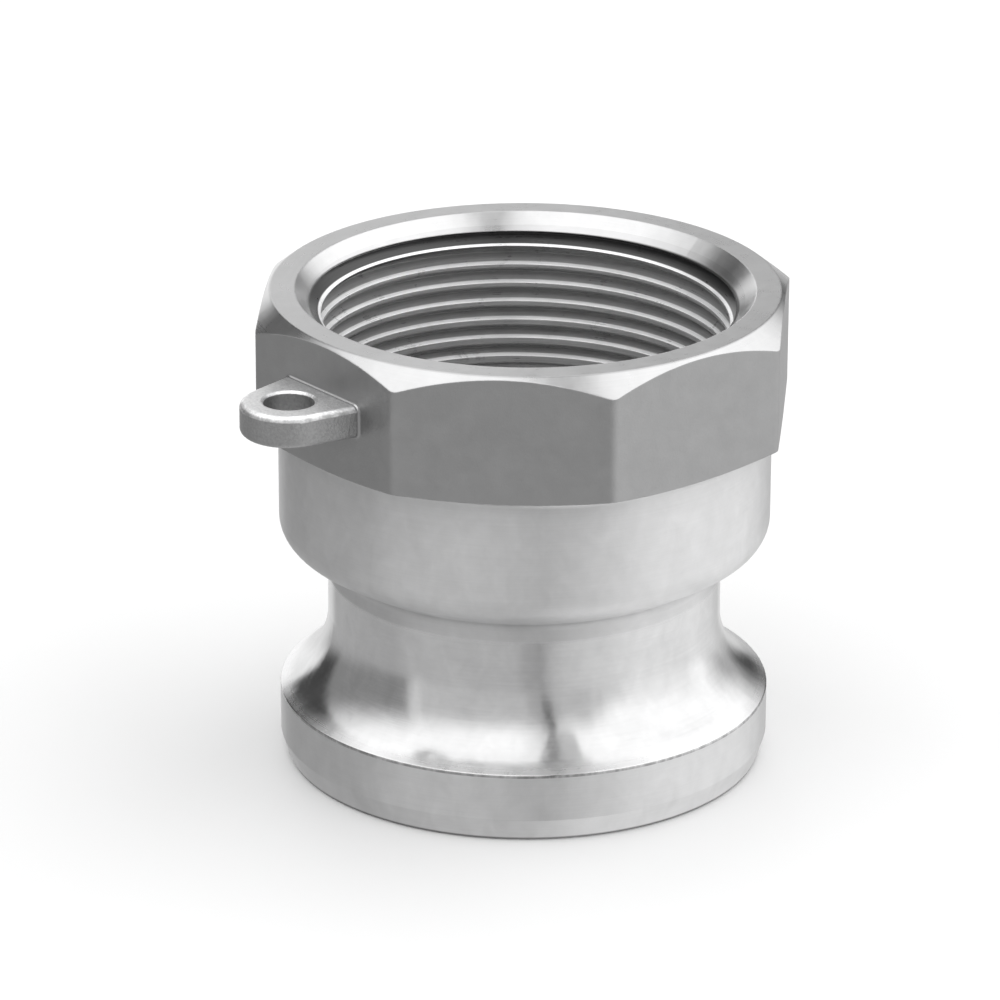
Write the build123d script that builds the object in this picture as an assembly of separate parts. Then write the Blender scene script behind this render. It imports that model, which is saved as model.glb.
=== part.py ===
"""Camlock adapter, 1-1/2 inch: grooved male camlock end below, female taper pipe thread above.

The whole fitting is one stainless investment casting. Foundry surfaces: the octagon head with its
security lug, the collar and its underside. Turned surfaces: the lip, the cam groove, the neck, the
bore, the top face with its corner chamfer, the countersink and the tapped pipe thread.

Frame: millimetres, origin on the axis in the plane of the camlock end face, +Z up towards the
threaded mouth, the lug on -X.
"""
import math
import os

from build123d import *

# ---------------------------------------------------------------- driving dimensions (mm)
HEIGHT = 53.4            # end face to mouth face

# camlock end
LIP_OD = 53.5            # the size that a 1-1/2 inch cam coupler takes
LIP_LEAD_R = 25.9        # radius at the end face, where the lead-in taper starts
LIP_LEAD_H = 2.6         # height of the lead-in taper
END_EDGE_R = 0.35        # rounding of the end face's outer edge
GROOVE_R = 9.6           # radius of the cam groove's arc
GROOVE_Z = 16.4          # height of the groove's deepest point
NECK_R = 21.45           # radius there, and of the plain neck above it
LIP_EDGE_R = 0.18        # rounding of the lip's upper edge
NECK_FILLET = 1.3        # neck into the underside of the collar
UNDER_ANGLE = 60.0       # the collar's underside, degrees from the axis
UNDER_Z = 22.95          # height at which the underside would meet the neck
COLLAR_ROUND = 3.0       # underside into the collar's wall

# octagon head
HEAD_AF = 55.8           # across flats
HEAD_CORNER_R = 1.5      # rounding of its upright corners
HEAD_Z = 38.85           # its underside, at the collar
HEAD_UNDER_SLOPE = 0.30  # rise of the underside per mm outwards
HEAD_FILLET = 0.8        # collar into the underside
TOP_RING_R = 27.5        # outer radius of the turned top face
TOP_SLOPE = 0.80         # fall of the corner chamfer per mm outwards
EDGE_BREAK = 0.20        # turned edges

# tapped mouth: 1-1/2 - 11 1/2 taper pipe thread in a straight drilled hole
PITCH = 25.4 / 11.5
DRILL_R = 22.0           # drilled radius, which is the thread's crest
MOUTH_R = 24.8           # countersink at the mouth face, 45 degrees
MAJOR_R_FACE = 23.69     # thread root radius at the mouth face
TAPER = 1.0 / 32.0       # fall of the root radius per mm of depth
ROOT_FLAT = 0.10         # width of the flat at the root
THREAD_END_Z = 33.6      # where the last thread runs out
RUNOUT = 3.0             # height over which it runs out
DRILL_END_Z = 31.2       # bottom of the drilled hole
THREAD_PHASE = 49.65     # bearing of the plane in which CREST_Z is measured, degrees
CREST_Z = 50.15          # height of a crest in that plane

# water way
BORE_R = 18.5
BORE_EDGE = 0.4          # chamfer at the end face

# security lug
LUG_TOP = 48.15
LUG_BOTTOM = 44.60
LUG_HOLE_X = -32.4
LUG_HOLE_R = 2.7
LUG_HOLE_EDGE = 0.25
LUG_NOSE_R = 5.2
LUG_ROOT_HALF = 6.15     # half its width where it leaves the flat
LUG_EDGE_R = 0.70
LUG_ROOT_R = 0.3

LIP_R = LIP_OD / 2
FLAT = HEAD_AF / 2


def turned(points_and_arcs):
    """A solid of revolution about Z from a closed list of edges in the XZ plane."""
    wire = Wire(points_and_arcs)
    return revolve(Plane.XZ * make_face(wire.edges()), Axis.Z)


def chain(items):
    """Edges through corner points given as (r, z, fillet radius)."""
    n = len(items)
    enters, leaves, arcs = [], [], []
    for i in range(n):
        r, z, f = items[i]
        p = Vector(r, z, 0)
        a = Vector(items[i - 1][0], items[i - 1][1], 0)
        b = Vector(items[(i + 1) % n][0], items[(i + 1) % n][1], 0)
        if f <= 0:
            enters.append(p)
            leaves.append(p)
            arcs.append(None)
            continue
        u, v = (a - p).normalized(), (b - p).normalized()
        half = math.acos(max(-1, min(1, u.dot(v)))) / 2
        t = f / math.tan(half)
        mid = (u + v).normalized()
        centre = p + mid * (f / math.sin(half))
        enters.append(p + u * t)
        leaves.append(p + v * t)
        arcs.append(centre - mid * f)
    edges = []
    for i in range(n):
        if arcs[i] is not None:
            edges.append(ThreePointArc(enters[i], arcs[i], leaves[i]))
        if (enters[(i + 1) % n] - leaves[i]).length > 1e-6:
            edges.append(Line(leaves[i], enters[(i + 1) % n]))
    return edges


# ---------------------------------------------------------------- camlock end, neck and collar
# The groove's arc, from the lip's wall round to the neck.
gc_r = NECK_R + GROOVE_R
lip_top = GROOVE_Z - math.sqrt(GROOVE_R**2 - (gc_r - LIP_R) ** 2)
# rounding where the arc leaves the lip's wall: a small arc tangent to both
e_r = LIP_EDGE_R
ec_r = LIP_R - e_r
ec_z = GROOVE_Z - math.sqrt((GROOVE_R + e_r) ** 2 - (gc_r - ec_r) ** 2)
to_groove = Vector(gc_r - ec_r, GROOVE_Z - ec_z, 0).normalized()
edge_on_arc = Vector(ec_r, ec_z, 0) + to_groove * e_r
edge_on_wall = Vector(LIP_R, ec_z, 0)
edge_mid_dir = (to_groove + Vector(1, 0, 0)).normalized()
edge_mid = Vector(ec_r, ec_z, 0) + edge_mid_dir * e_r
arc_from = math.atan2(edge_on_arc.Y - GROOVE_Z, edge_on_arc.X - gc_r)
arc_from = arc_from if arc_from > 0 else arc_from + 2 * math.pi
arc_mid = (arc_from + math.pi) / 2
on_arc = Vector(gc_r + GROOVE_R * math.cos(arc_mid), GROOVE_Z + GROOVE_R * math.sin(arc_mid), 0)

under = math.radians(UNDER_ANGLE)
# the underside's line, and where the collar's rounding takes over from it
round_c = Vector(LIP_R - COLLAR_ROUND, 0, 0)
line_end_r = round_c.X + COLLAR_ROUND * math.cos(under)
line_end_z = UNDER_Z + (line_end_r - NECK_R) / math.tan(under)
round_z = line_end_z + COLLAR_ROUND * math.sin(under)
half_turn = under / 2
round_mid = Vector(
    round_c.X + COLLAR_ROUND * math.cos(half_turn), round_z - COLLAR_ROUND * math.sin(half_turn), 0
)
t_neck = NECK_FILLET * math.tan(under / 2)
neck_from = Vector(NECK_R, UNDER_Z - t_neck, 0)
neck_to = Vector(NECK_R + t_neck * math.sin(under), UNDER_Z + t_neck * math.cos(under), 0)
neck_c = Vector(NECK_R + NECK_FILLET, UNDER_Z - t_neck, 0)
neck_mid_a = math.pi - under / 2
neck_mid = neck_c + Vector(math.cos(neck_mid_a), math.sin(neck_mid_a), 0) * NECK_FILLET

# end face corner: lead-in taper meets the face
lead_dir = Vector(LIP_R - LIP_LEAD_R, LIP_LEAD_H, 0).normalized()
corner = Vector(LIP_LEAD_R, 0, 0)
u, v = Vector(-1, 0, 0), lead_dir
half = math.acos(u.dot(v)) / 2
t_end = END_EDGE_R / math.tan(half)
mid_dir = (u + v).normalized()
end_mid = corner + mid_dir * (END_EDGE_R / math.sin(half) - END_EDGE_R)

COLLAR_TOP = HEAD_Z - 3.0
lower = [
    Line((0, 0), corner + u * t_end),
    ThreePointArc(corner + u * t_end, end_mid, corner + v * t_end),
    Line(corner + v * t_end, (LIP_R, LIP_LEAD_H)),
    Line((LIP_R, LIP_LEAD_H), edge_on_wall),
    ThreePointArc(edge_on_wall, edge_mid, edge_on_arc),
    ThreePointArc(edge_on_arc, on_arc, (NECK_R, GROOVE_Z)),
    Line((NECK_R, GROOVE_Z), neck_from),
    ThreePointArc(neck_from, neck_mid, neck_to),
    Line(neck_to, (line_end_r, line_end_z)),
    ThreePointArc((line_end_r, line_end_z), round_mid, (LIP_R, round_z)),
    Line((LIP_R, round_z), (LIP_R, COLLAR_TOP)),
    Line((LIP_R, COLLAR_TOP), (0, COLLAR_TOP)),
    Line((0, COLLAR_TOP), (0, 0)),
]
spigot = turned(lower)

# ---------------------------------------------------------------- octagon head
FAR_R = FLAT / math.cos(math.pi / 8) + 1.0
envelope = turned(
    chain(
        [
            (0, COLLAR_TOP, 0),
            (LIP_R, COLLAR_TOP, 0),
            (LIP_R, HEAD_Z, HEAD_FILLET),
            (FAR_R, HEAD_Z + HEAD_UNDER_SLOPE * (FAR_R - LIP_R), 0),
            (FAR_R, HEIGHT - TOP_SLOPE * (FAR_R - TOP_RING_R), 0),
            (TOP_RING_R, HEIGHT, EDGE_BREAK),
            (0, HEIGHT, 0),
        ]
    )
)
octagon = Rot(0, 0, 22.5) * RegularPolygon(radius=FLAT, side_count=8, major_radius=False)
prism = Pos(0, 0, COLLAR_TOP - 1) * extrude(octagon, amount=HEIGHT - COLLAR_TOP + 2)
prism = fillet(prism.edges().filter_by(Axis.Z), radius=HEAD_CORNER_R)
head = envelope & prism

# ---------------------------------------------------------------- security lug, on the -X flat
dx, dy = -FLAT - LUG_HOLE_X, LUG_ROOT_HALF
reach = math.hypot(dx, dy)
bearing = math.atan2(dy, dx) + math.acos(LUG_NOSE_R / reach)
tx, ty = LUG_HOLE_X + LUG_NOSE_R * math.cos(bearing), LUG_NOSE_R * math.sin(bearing)
grow = (LUG_ROOT_HALF - ty) / (-FLAT - tx)
root_x = -FLAT + 2.5
root_half = LUG_ROOT_HALF
outline = make_face(
    [
        ThreePointArc((tx, ty), (LUG_HOLE_X - LUG_NOSE_R, 0), (tx, -ty)),
        Line((tx, -ty), (-FLAT, -LUG_ROOT_HALF)),
        Line((-FLAT, -LUG_ROOT_HALF), (root_x, -root_half)),
        Line((root_x, -root_half), (root_x, root_half)),
        Line((root_x, root_half), (-FLAT, LUG_ROOT_HALF)),
        Line((-FLAT, LUG_ROOT_HALF), (tx, ty)),
    ]
)
lug = Pos(0, 0, LUG_BOTTOM) * extrude(outline, amount=LUG_TOP - LUG_BOTTOM)

# ---------------------------------------------------------------- put together
body = spigot + head + lug

rims = [
    e
    for e in body.edges()
    if e.center().X < -FLAT - 0.3
    and abs(e.tangent_at(0.5).Z) < 0.1
    and (abs(e.center().Z - LUG_TOP) < 0.01 or abs(e.center().Z - LUG_BOTTOM) < 0.01)
]
body = fillet(rims, radius=LUG_EDGE_R)
roots = [
    e
    for e in body.edges()
    if abs(e.bounding_box().max.X + FLAT) < 0.02
    and abs(e.bounding_box().min.X + FLAT) < 0.02
    and abs(e.center().Y) < LUG_ROOT_HALF + 0.1
    and LUG_BOTTOM - 0.1 < e.center().Z < LUG_TOP + 0.1
]
try:
    body = fillet(roots, radius=LUG_ROOT_R)
except Exception as problem:  # the lug then meets the flat in a plain corner
    print("lug root left sharp:", problem)

hole = chain(
    [
        (0, LUG_BOTTOM - 1, 0),
        (LUG_HOLE_R + LUG_HOLE_EDGE + 1, LUG_BOTTOM - 1, 0),
        (LUG_HOLE_R, LUG_BOTTOM + LUG_HOLE_EDGE, 0),
        (LUG_HOLE_R, LUG_TOP - LUG_HOLE_EDGE, 0),
        (LUG_HOLE_R + LUG_HOLE_EDGE + 1, LUG_TOP + 1, 0),
        (0, LUG_TOP + 1, 0),
    ]
)
body = body - Pos(LUG_HOLE_X, 0, 0) * turned(hole)

# ---------------------------------------------------------------- bore, drilled hole and countersink
JOIN_Z = THREAD_END_Z - 0.8   # below the thread
waterway = turned(
    chain(
        [
            (0, -1, 0),
            (BORE_R + BORE_EDGE + 1, -1, 0),
            (BORE_R, BORE_EDGE, 0),
            (BORE_R, DRILL_END_Z - (DRILL_R - BORE_R), 2.0),
            (DRILL_R, DRILL_END_Z, 1.0),
            (DRILL_R, JOIN_Z, 0),
            (0, JOIN_Z, 0),
        ]
    )
)
drilled = Pos(0, 0, JOIN_Z) * Cylinder(
    DRILL_R, HEIGHT + 5 - JOIN_Z, align=(Align.CENTER, Align.CENTER, Align.MIN)
)
countersink = turned(
    chain(
        [
            (0, HEIGHT - (MOUTH_R - DRILL_R) - 1, 0),
            (DRILL_R - 1, HEIGHT - (MOUTH_R - DRILL_R) - 1, 0),
            (MOUTH_R + 1, HEIGHT + 1, 0),
            (0, HEIGHT + 1, 0),
        ]
    )
)
body = body - waterway

# ---------------------------------------------------------------- tapped thread
# A 60 degree groove on a conical helix. Its inner end is parallel-sided, so turns don't meet.
# It comes out of the solid before the drilled hole does.
z_low = THREAD_END_Z - 0.5 * PITCH
z_high = HEIGHT + 1.2 * PITCH
r_low = MAJOR_R_FACE - (HEIGHT - z_low) * TAPER
turn = 360.0 * (z_low - (CREST_Z - PITCH / 2)) / PITCH  # bearing of the groove at z_low
helix = Helix(
    pitch=PITCH,
    height=z_high - z_low,
    radius=r_low,
    center=(0, 0, z_low),
    direction=(0, 0, 1),
    cone_angle=math.degrees(math.atan(TAPER)),
)
start = helix @ 0
out = Vector(start.X, start.Y, 0).normalized()
depth = MAJOR_R_FACE - DRILL_R + 0.02
wide = ROOT_FLAT / 2 + depth * math.tan(math.radians(30))
section_plane = Plane(origin=start, x_dir=out, z_dir=(helix % 0))
section = section_plane * make_face(
    Polyline(
        (0, -ROOT_FLAT / 2),
        (0, ROOT_FLAT / 2),
        (-depth, wide),
        (-depth - 0.6, wide),
        (-depth - 0.6, -wide),
        (-depth, -wide),
        close=True,
    ).edges()
)
cutter = sweep(section, path=helix, is_frenet=True)
cutter = Rot(0, 0, THREAD_PHASE + turn) * cutter
r_end = MAJOR_R_FACE - (HEIGHT - THREAD_END_Z - RUNOUT) * TAPER
limit = turned(
    chain(
        [
            (0, THREAD_END_Z, 0),
            (DRILL_R - 0.01, THREAD_END_Z, 0),
            (r_end + 0.1, THREAD_END_Z + RUNOUT, 0),
            (MAJOR_R_FACE + 2, THREAD_END_Z + RUNOUT + 0.5, 0),
            (MAJOR_R_FACE + 2, HEIGHT + 3, 0),
            (0, HEIGHT + 3, 0),
        ]
    )
)
cutter = cutter & limit
print("cutter", cutter.is_valid, round(cutter.volume, 1))
for tool in (cutter, drilled, countersink):
    body = body - tool
    print("left", round(body.volume, 1))

solids = body.solids()
print("solids", len(solids), "valid", all(s.is_valid for s in solids), "volume", round(body.volume, 1))
adapter_body = max(solids, key=lambda s: s.volume)
adapter_body.label = "adapter_body"

os.makedirs("parts", exist_ok=True)
export_step(adapter_body, "parts/adapter_body.step")
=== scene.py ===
import math

import bpy
from mathutils import Matrix, Vector

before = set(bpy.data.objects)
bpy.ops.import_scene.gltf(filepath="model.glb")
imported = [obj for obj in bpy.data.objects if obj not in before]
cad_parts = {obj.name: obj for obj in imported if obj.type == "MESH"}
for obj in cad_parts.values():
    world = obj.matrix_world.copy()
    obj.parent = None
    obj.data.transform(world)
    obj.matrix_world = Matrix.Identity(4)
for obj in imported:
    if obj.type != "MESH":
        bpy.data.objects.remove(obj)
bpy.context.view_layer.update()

scene = bpy.context.scene
scene.view_settings.view_transform = "Standard"
scene.view_settings.look = "None"
scene.view_settings.exposure = 0.0
scene.view_settings.gamma = 1.0

MM = 0.001

# ---------------------------------------------------------------- camera
# The view that shows the lug on the left, 22 degrees above the level.
AZ, EL, DIST, ROLL = math.radians(-40.35), math.radians(22.048), 0.67230, math.radians(0.3177)
TARGET = Vector((0.0, 0.0, 0.0255))
back = Vector((math.sin(AZ) * math.cos(EL), -math.cos(AZ) * math.cos(EL), math.sin(EL)))
right = Vector((0, 0, 1)).cross(back).normalized()
up = back.cross(right).normalized()
r2 = right * math.cos(ROLL) + up * math.sin(ROLL)
u2 = up * math.cos(ROLL) - right * math.sin(ROLL)
cam_data = bpy.data.cameras.new("camera")
cam_data.lens = 221.87
cam_data.sensor_width = 36.0
cam_data.shift_x = -0.0244
cam_data.shift_y = 0.0273
cam_data.clip_start = 0.02
cam_data.clip_end = 30.0
cam = bpy.data.objects.new("camera", cam_data)
scene.collection.objects.link(cam)
place = TARGET + back * DIST
cam.matrix_world = Matrix(
    (
        (r2.x, u2.x, back.x, place.x),
        (r2.y, u2.y, back.y, place.y),
        (r2.z, u2.z, back.z, place.z),
        (0, 0, 0, 1),
    )
)
scene.camera = cam


# ---------------------------------------------------------------- node helper
class Tree:
    def __init__(self, tree):
        self.tree = tree
        tree.nodes.clear()

    def node(self, kind, **inputs):
        n = self.tree.nodes.new(kind)
        return n

    def put(self, socket, value):
        if isinstance(value, bpy.types.NodeSocket):
            self.tree.links.new(value, socket)
        else:
            socket.default_value = value

    def math(self, op, a, b=None, c=None, clamp=False):
        n = self.tree.nodes.new("ShaderNodeMath")
        n.operation = op
        n.use_clamp = clamp
        self.put(n.inputs[0], a)
        if b is not None:
            self.put(n.inputs[1], b)
        if c is not None:
            self.put(n.inputs[2], c)
        return n.outputs[0]

    def vec(self, op, a, b=None, scale=None):
        n = self.tree.nodes.new("ShaderNodeVectorMath")
        n.operation = op
        self.put(n.inputs[0], a)
        if b is not None:
            self.put(n.inputs[1], b)
        if scale is not None:
            self.put(n.inputs["Scale"], scale)
        return n.outputs["Value"] if op in ("DOT_PRODUCT", "LENGTH", "DISTANCE") else n.outputs[0]

    def xyz(self, v):
        n = self.tree.nodes.new("ShaderNodeSeparateXYZ")
        self.put(n.inputs[0], v)
        return n.outputs[0], n.outputs[1], n.outputs[2]

    def join(self, x, y, z):
        n = self.tree.nodes.new("ShaderNodeCombineXYZ")
        for s, v in zip(n.inputs, (x, y, z)):
            self.put(s, v)
        return n.outputs[0]

    def step(self, value, lo, hi, out_lo=0.0, out_hi=1.0):
        """smooth ramp from out_lo to out_hi as value goes from lo to hi"""
        n = self.tree.nodes.new("ShaderNodeMapRange")
        n.interpolation_type = "SMOOTHSTEP"
        self.put(n.inputs["Value"], value)
        self.put(n.inputs["From Min"], lo)
        self.put(n.inputs["From Max"], hi)
        self.put(n.inputs["To Min"], out_lo)
        self.put(n.inputs["To Max"], out_hi)
        return n.outputs["Result"]

    def band(self, value, a, b, soft):
        """1 between a and b, falling to 0 over soft outside them"""
        return self.math(
            "MULTIPLY", self.step(value, a - soft, a), self.step(value, b, b + soft, 1.0, 0.0)
        )

    def noise(self, vector, scale, detail=2.0, rough=0.5, distortion=0.0):
        n = self.tree.nodes.new("ShaderNodeTexNoise")
        n.noise_dimensions = "3D"
        self.put(n.inputs["Vector"], vector)
        self.put(n.inputs["Scale"], scale)
        self.put(n.inputs["Detail"], detail)
        self.put(n.inputs["Roughness"], rough)
        self.put(n.inputs["Distortion"], distortion)
        return n.outputs["Fac"]

    def mix(self, fac, a, b):
        """number mix"""
        n = self.tree.nodes.new("ShaderNodeMix")
        n.data_type = "FLOAT"
        self.put(n.inputs[0], fac)
        self.put(n.inputs[2], a)
        self.put(n.inputs[3], b)
        return n.outputs[0]

    def colour(self, fac, a, b):
        n = self.tree.nodes.new("ShaderNodeMix")
        n.data_type = "RGBA"
        self.put(n.inputs[0], fac)
        self.put(n.inputs[6], a)
        self.put(n.inputs[7], b)
        return n.outputs[2]


# ---------------------------------------------------------------- studio
# The sky of the studio is written in directions relative to the viewing side:
# f towards the viewer's side of the table, s to the viewer's right, z up.
F = Vector((math.sin(AZ), -math.cos(AZ), 0.0))
S = Vector((math.cos(AZ), math.sin(AZ), 0.0))


def toward(az, el):
    """unit vector az degrees to the right of the viewing side, el degrees up"""
    a, e = math.radians(az), math.radians(el)
    return (F * math.cos(a) + S * math.sin(a)) * math.cos(e) + Vector((0, 0, 1)) * math.sin(e)


world = bpy.data.worlds.new("studio")
scene.world = world
world.use_nodes = True
w = Tree(world.node_tree)
coord = w.node("ShaderNodeTexCoord").outputs["Generated"]
wx, wy, wz = w.xyz(coord)


# azimuth from the viewing side, to the right, and elevation, both in degrees
ws = w.vec("DOT_PRODUCT", coord, tuple(S))
wf = w.vec("DOT_PRODUCT", coord, tuple(F))
az = w.math("MULTIPLY", w.math("ARCTAN2", ws, wf), 57.29578)
el = w.math("MULTIPLY", w.math("ARCSINE", w.math("MINIMUM", w.math("MAXIMUM", wz, -0.9999), 0.9999)), 57.29578)
round_az = w.math("ABSOLUTE", az)


def bump_at(value, a, b, soft, strength):
    return w.math("MULTIPLY", w.band(value, a, b, soft), strength)


# what stands around the table, by bearing: a wide bright wall on the right,
# a paler one in front, a dim left side, a sheet behind with dark wings beside it
left_side = w.math("LESS_THAN", az, 0.0)
right_side = w.math("GREATER_THAN", az, 0.0)
risen = w.math("SUBTRACT", round_az, w.math("MULTIPLY", w.math("MAXIMUM", el, 0.0), 0.6))
low_part = w.math("ADD", 0.09, 0.0)
for part in (
    bump_at(az, -122, -71, 8, 0.27),
    w.math("MULTIPLY", w.math("MULTIPLY", w.step(az, -71, -62), w.step(az, 35, 59, 1.0, 0.0)), 0.70),
    bump_at(az, -66, -61, 3, 0.20),
    bump_at(az, 66, 106, 34, 1.28),
    bump_at(az, 118, 143, 14, 0.50),
    w.math("MULTIPLY", right_side, bump_at(round_az, 168, 190, 8, 0.55)),
    w.math("MULTIPLY", left_side, w.step(risen, 139, 146, 0.0, 1.15)),
):
    low_part = w.math("ADD", low_part, part)
# the table top, lit from the right
table_part = w.math("ADD", 0.49, 0.0)
for part in (
    bump_at(az, 75, 114, 70, 0.72),
    bump_at(az, -60, 30, 25, 0.20),
    bump_at(az, -135, -80, 18, 0.10),
    w.math("MULTIPLY", left_side, bump_at(round_az, 156, 190, 12, 0.36)),
    w.math("MULTIPLY", right_side, bump_at(round_az, 168, 190, 12, 0.25)),
):
    table_part = w.math("ADD", table_part, part)
low_part = w.mix(w.step(el, -18, -3), table_part, low_part)
# two big soft lights overhead, which come lower on the right
high_part = w.math(
    "MULTIPLY",
    w.math("SUBTRACT", 1.0, w.math("MULTIPLY", bump_at(round_az, 152, 190, 14, 0.42), w.step(el, 38, 52, 1.0, 0.0))),
    1.70,
)
held_back = w.math("ADD", bump_at(az, -153, -129, 6, 14.0), w.step(round_az, 152, 160, 0.0, 8.0))
lift = w.mix(w.band(az, 55, 142, 20), w.step(w.math("SUBTRACT", el, held_back), 17, 52), w.step(el, -2, 26))
total = w.mix(lift, low_part, high_part)
# the dark gap between the two lights, straight up from the viewing side, with
# a dimmer margin which is to its left low down and to its right overhead
nS = S * 0.9740 - F * 0.2046 - Vector((0, 0, 1)) * 0.0974
across_gap = w.vec("DOT_PRODUCT", coord, tuple(nS))
in_front = w.step(wf, -0.5, -0.2)
core = w.math("MULTIPLY", w.band(across_gap, -0.030, 0.024, 0.035), w.step(el, -25, 32, 0.26, 0.80))
margin_low = w.math("MULTIPLY", w.band(across_gap, -0.10, 0.0, 0.15), w.step(el, 25, 85, 0.22, 0.10))
margin_high = w.math("MULTIPLY", w.band(across_gap, 0.0, 0.15, 0.04), w.step(el, 30, 48, 0.0, 0.50))
gap = w.math("MULTIPLY", w.math("MAXIMUM", core, w.math("MAXIMUM", margin_low, margin_high)), in_front)
total = w.math("MULTIPLY", total, w.math("SUBTRACT", 1.0, gap))
# the sheet right under the object is the brightest part of the table
total = w.math("MULTIPLY", total, w.step(el, -84, -52, 2.0, 1.0))
bg = w.node("ShaderNodeBackground")
bg.inputs["Color"].default_value = (1, 1, 1, 1)
w.put(bg.inputs["Strength"], total)
wo = w.node("ShaderNodeOutputWorld")
w.put(wo.inputs["Surface"], bg.outputs[0])

# floor: a plain pale sheet
bpy.ops.mesh.primitive_plane_add(size=8.0, location=(0, 0, -0.00002))
floor = bpy.context.object
floor.name = "floor"
floor.visible_glossy = False   # the metal sees the studio below the horizon instead
fm = bpy.data.materials.new("floor_paint")
fm.use_nodes = True
t = Tree(fm.node_tree)
fb = t.node("ShaderNodeBsdfPrincipled")
fb.inputs["Base Color"].default_value = (0.87, 0.87, 0.87, 1)
fb.inputs["Roughness"].default_value = 0.7
fb.inputs["Specular IOR Level"].default_value = 0.2
fo = t.node("ShaderNodeOutputMaterial")
t.put(fo.inputs["Surface"], fb.outputs[0])
floor.data.materials.append(fm)

# ---------------------------------------------------------------- stainless
mat = bpy.data.materials.new("cast_stainless")
mat.use_nodes = True
m = Tree(mat.node_tree)
P = m.node("ShaderNodeTexCoord").outputs["Object"]
Q = m.vec("SCALE", P, scale=1000.0)          # millimetres
px, py, pz = m.xyz(Q)
rr = m.math("SQRT", m.math("ADD", m.math("MULTIPLY", px, px), m.math("MULTIPLY", py, py)))
turn = m.math("ARCTAN2", py, px)
# the surface's own direction, for telling flats from cones
geo = m.node("ShaderNodeNewGeometry")
vt = m.node("ShaderNodeVectorTransform")
vt.vector_type = "NORMAL"
vt.convert_from = "WORLD"
vt.convert_to = "OBJECT"
m.put(vt.inputs[0], geo.outputs["Normal"])
nx, ny, nz = m.xyz(vt.outputs[0])

# --- zones
head = m.math("MULTIPLY", m.step(rr, 26.9, 27.2), m.step(pz, 38.3, 38.8))
flat_side = m.step(m.math("ABSOLUTE", nz), 0.35, 0.5, 1.0, 0.0)
on_lug = m.step(px, -28.3, -28.05, 1.0, 0.0)
below = m.step(nz, -0.3, -0.1, 1.0, 0.0)
skin = m.math("MULTIPLY", head, m.math("MAXIMUM", m.math("MAXIMUM", flat_side, on_lug), below))
inside = m.step(rr, 24.25, 24.35, 1.0, 0.0)
thread = m.math("MULTIPLY", m.math("MULTIPLY", inside, m.step(pz, 31.0, 31.3)), m.step(nz, 0.69, 0.72))
thread = m.math("MULTIPLY", inside, m.math("MULTIPLY", m.step(pz, 31.0, 31.3), m.math("MULTIPLY", m.step(pz, 51.5, 51.7, 1.0, 0.0), m.step(rr, 23.66, 23.74, 1.0, 0.0))))
collar = m.math("MULTIPLY", m.band(pz, 23.0, 38.6, 0.3), m.step(rr, 21.8, 22.2))
groove = m.math("MULTIPLY", m.band(pz, 7.4, 20.6, 0.6), m.step(rr, 20.6, 20.9))
lip = m.math("MULTIPLY", m.step(pz, 7.50, 7.62, 1.0, 0.0), m.step(rr, 25.2, 25.6))
sink = m.math("MULTIPLY", m.math("MULTIPLY", m.band(rr, 23.62, 24.80, 0.04), m.step(pz, 51.35, 51.5)), m.step(nz, 0.25, 0.35))

# --- textures of the two finishes
grain = m.noise(Q, 3.6, 3.0, 0.62)                        # blasted skin, a quarter millimetre
swell = m.noise(Q, 0.22, 2.0, 0.5)                         # slow swells of the casting
cloud = m.noise(Q, 0.42, 3.0, 0.55, 0.4)
# fine rings left by the tool: fast along the profile, slow around
ring_at = m.join(m.math("MULTIPLY", rr, 3.2), m.math("MULTIPLY", pz, 3.2), m.math("MULTIPLY", turn, 1.6))
rings = m.noise(ring_at, 1.9, 3.0, 0.65)
wide_rings = m.noise(m.join(m.math("MULTIPLY", rr, 0.9), m.math("MULTIPLY", pz, 0.9), m.math("MULTIPLY", turn, 0.9)), 1.0, 2.0, 0.5)
streaks = m.noise(m.join(m.math("MULTIPLY", px, 0.42), m.math("MULTIPLY", py, 0.42), m.math("MULTIPLY", pz, 0.30)), 1.0, 3.0, 0.55, 0.6)

# --- edges: how far a slightly rounded normal leans from the true one
bev = m.node("ShaderNodeBevel")
bev.samples = 6
bev.inputs["Radius"].default_value = 0.00022
lean = m.math("SUBTRACT", 1.0, m.vec("DOT_PRODUCT", bev.outputs[0], geo.outputs["Normal"]))
edge = m.step(lean, 0.02, 0.22)

# --- base reflectance
base = m.mix(collar, 0.58, 0.64)
base = m.mix(lip, base, 0.595)
# painted shade: a thin dark line along the sharp upper edge of the lip, broken up by noise like small burrs; the
# lower edge gets a painted contact shadow
lip_shade_breakup = m.noise(m.join(m.math("MULTIPLY", px, 0.9), m.math("MULTIPLY", py, 0.9), 0.0), 1.0, 4.0, 0.65)
lip_edge_shade = m.math("MULTIPLY", m.math("MULTIPLY", m.band(pz, 7.54, 7.80, 0.05), m.step(nz, 0.86, 0.80)), m.math("MULTIPLY", m.step(rr, 26.2, 26.35), m.step(lip_shade_breakup, 0.30, 0.62, 0.20, 1.0)))
# painted highlight: the foot of the flare just above the lip gets a lighter base, so it reads white right down to the
# lip's edge; it is also made smoother
flare_foot_highlight = m.math("MULTIPLY", m.step(pz, 7.9, 9.1, 1.0, 0.0), m.math("MULTIPLY", m.step(pz, 7.3, 7.5), m.step(nz, 0.70, 0.80)))
base = m.mix(flare_foot_highlight, base, 0.76)
# painted contact shadow: the base is darkened along the lip's bottom edge, where it stands on the table
foot = m.math("MULTIPLY", m.step(pz, 0.16, 0.42, 1.0, 0.0), m.step(rr, 25.0, 25.3))
# darken the base along the lip's upper edge: the painted shade line
base = m.math("MULTIPLY", base, m.math("SUBTRACT", 1.0, m.math("MULTIPLY", lip_edge_shade, 0.50)))
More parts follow.
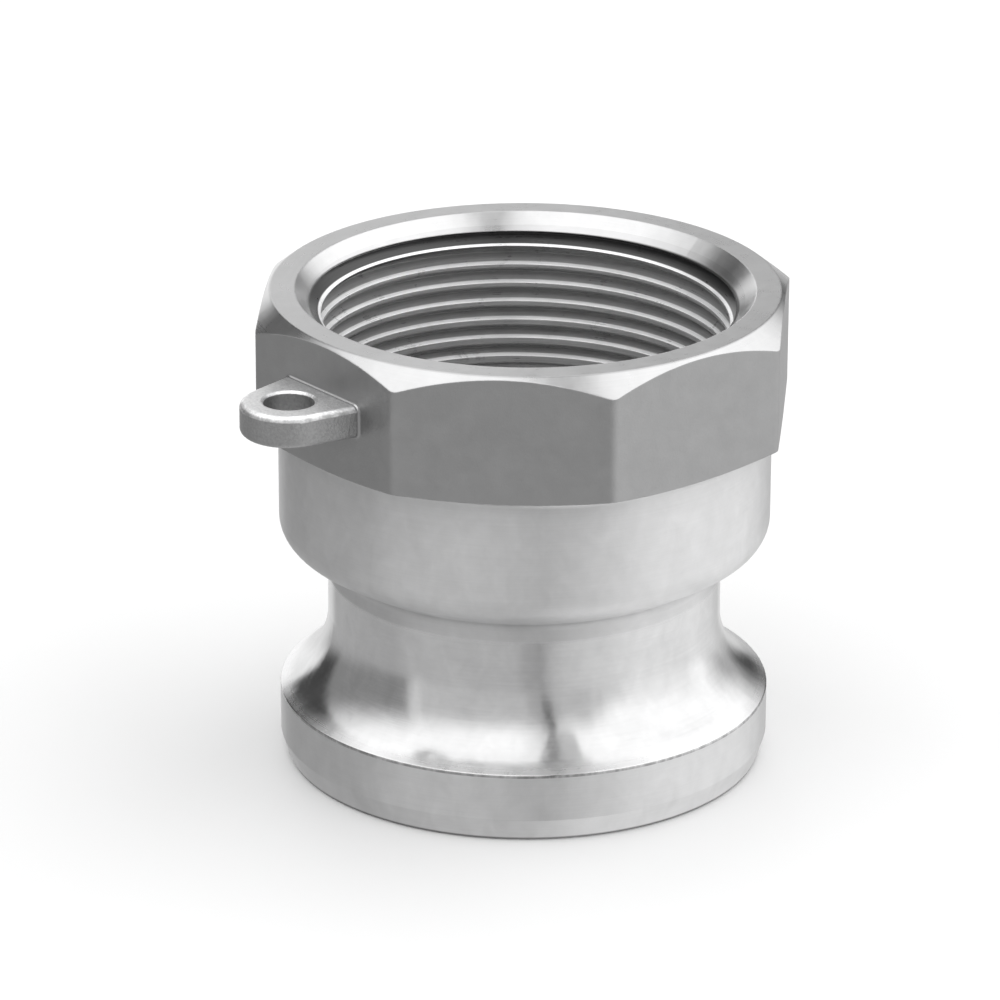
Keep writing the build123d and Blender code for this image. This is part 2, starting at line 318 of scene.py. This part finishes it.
# darken the bottom edge: the painted contact shadow
base = m.math("MULTIPLY", base, m.math("SUBTRACT", 1.0, m.math("MULTIPLY", foot, 0.75)))
top_ring = m.math("MULTIPLY", m.step(pz, 53.25, 53.35), m.step(rr, 24.6, 24.8))
base = m.mix(top_ring, base, 0.46)
faces_up = m.step(nz, 0.2, 0.4)
# painted highlight: the thread crests get a near-white base, drawn narrower near the top of the thread
crest_r = m.step(pz, 49.45, 50.05, 22.36, 22.24)
crest_highlight = m.math("MULTIPLY", thread, m.math("MULTIPLY", faces_up, m.step(m.math("SUBTRACT", rr, crest_r), 0.0, 0.14, 1.0, 0.0)))
cut = m.math("MULTIPLY", thread, m.math("SUBTRACT", 1.0, crest_highlight))
# painted shade: the cut flanks are darkened towards the top of the thread, where nothing overhangs them to give real
# shade
base = m.mix(cut, base, m.step(pz, 49.25, 50.45, 0.36, 0.05))
base = m.mix(crest_highlight, base, 0.97)
base = m.mix(sink, base, 0.64)
# painted highlight: the upward faces of the lug get a lighter base than the rest of the cast skin
lug_top = m.math("MULTIPLY", on_lug, m.step(nz, 0.5, 0.8))
base = m.mix(skin, base, m.mix(lug_top, 0.345, 0.67))
cloud0 = m.math("SUBTRACT", cloud, 0.5)
base = m.math("MULTIPLY", base, m.math("ADD", 1.0, m.math("MULTIPLY", cloud0, 0.16)))
base = m.math("MULTIPLY", base, m.math("ADD", 1.0, m.math("MULTIPLY", m.math("SUBTRACT", streaks, 0.5), m.mix(skin, 0.20, 0.12))))
# edges of the cast skin and the lug's rounded rim: partly real wear and partly a painted highlight, a lighter and
# smoother base broken up by noise
lug_edge = m.math("MULTIPLY", on_lug, m.band(nz, 0.22, 0.90, 0.12))
wear_and_highlight_noise = m.step(m.noise(Q, 0.95, 3.0, 0.6), 0.36, 0.60, 0.35, 1.0)
worn_and_highlit = m.math("MULTIPLY", wear_and_highlight_noise, m.math("MAXIMUM", m.math("MULTIPLY", edge, skin), m.math("MULTIPLY", lug_edge, head)))
base = m.math("MULTIPLY", base, m.math("ADD", 1.0, m.math("MULTIPLY", m.math("SUBTRACT", grain, 0.5), m.math("MULTIPLY", on_lug, 0.55))))
# lighten the edges: wear together with the painted edge highlight
base = m.math("ADD", base, m.math("MULTIPLY", worn_and_highlit, 0.34))
base = m.math("MULTIPLY", base, m.math("ADD", 1.0, m.math("MULTIPLY", m.math("SUBTRACT", rings, 0.5), m.mix(thread, m.mix(skin, 0.12, 0.0), 0.7))))
# --- roughness
neck = m.math("MULTIPLY", m.band(pz, 21.2, 27.5, 1.2), m.band(rr, 20.8, 24.0, 1.0))
rough = m.mix(neck, 0.30, 0.46)
rough = m.mix(collar, rough, 0.52)
rough = m.mix(groove, rough, 0.16)
rough = m.mix(lip, rough, 0.44)
rough = m.mix(thread, rough, 0.30)
rough = m.mix(sink, rough, 0.31)
rough = m.mix(flare_foot_highlight, rough, 0.29)
rough = m.mix(skin, rough, 0.50)
rough = m.math("ADD", rough, m.math("MULTIPLY", m.math("SUBTRACT", streaks, 0.5), 0.14))
rough = m.math("ADD", rough, m.math("MULTIPLY", m.math("SUBTRACT", rings, 0.5), m.mix(skin, 0.10, 0.0)))
rough = m.math("SUBTRACT", rough, m.math("MULTIPLY", worn_and_highlit, 0.14))
# --- relief
relief_cast = m.math("ADD", m.math("MULTIPLY", grain, m.mix(on_lug, 0.032, 0.075)), m.math("MULTIPLY", swell, 0.22))
relief_turned = m.math("ADD", m.math("MULTIPLY", rings, 0.0035), m.math("MULTIPLY", wide_rings, 0.010))
relief_turned = m.math("ADD", relief_turned, m.math("MULTIPLY", swell, 0.03))
relief = m.mix(skin, relief_turned, relief_cast)
bump = m.node("ShaderNodeBump")
bump.inputs["Strength"].default_value = 1.0
bump.inputs["Distance"].default_value = 0.001
m.put(bump.inputs["Height"], relief)
m.put(bump.inputs["Normal"], bev.outputs[0])
# --- the tool's rings run around the axis, so light spreads across them
around = m.join(m.math("MULTIPLY", py, -1.0), px, 0.0)
vo = m.node("ShaderNodeVectorTransform")
vo.vector_type = "VECTOR"
vo.convert_from = "OBJECT"
vo.convert_to = "WORLD"
m.put(vo.inputs[0], around)
across = m.vec("NORMALIZE", m.vec("CROSS_PRODUCT", geo.outputs["Normal"], vo.outputs[0]))

bs = m.node("ShaderNodeBsdfPrincipled")
# the thread is only partly metallic, so its painted crest highlight catches more light
m.put(bs.inputs["Metallic"], m.mix(thread, 1.0, 0.30))
col = m.node("ShaderNodeCombineColor")
m.put(col.inputs[0], base)
m.put(col.inputs[1], m.math("MULTIPLY", base, 1.0))
m.put(col.inputs[2], m.math("MULTIPLY", base, 1.004))
m.put(bs.inputs["Base Color"], col.outputs[0])
m.put(bs.inputs["Roughness"], rough)
m.put(bs.inputs["Normal"], bump.outputs[0])
m.put(bs.inputs["Anisotropic"], m.mix(skin, 0.75, 0.0))
m.put(bs.inputs["Tangent"], across)
out = m.node("ShaderNodeOutputMaterial")
m.put(out.inputs["Surface"], bs.outputs[0])

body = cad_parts["adapter_body"]
body.data.materials.clear()
body.data.materials.append(mat)
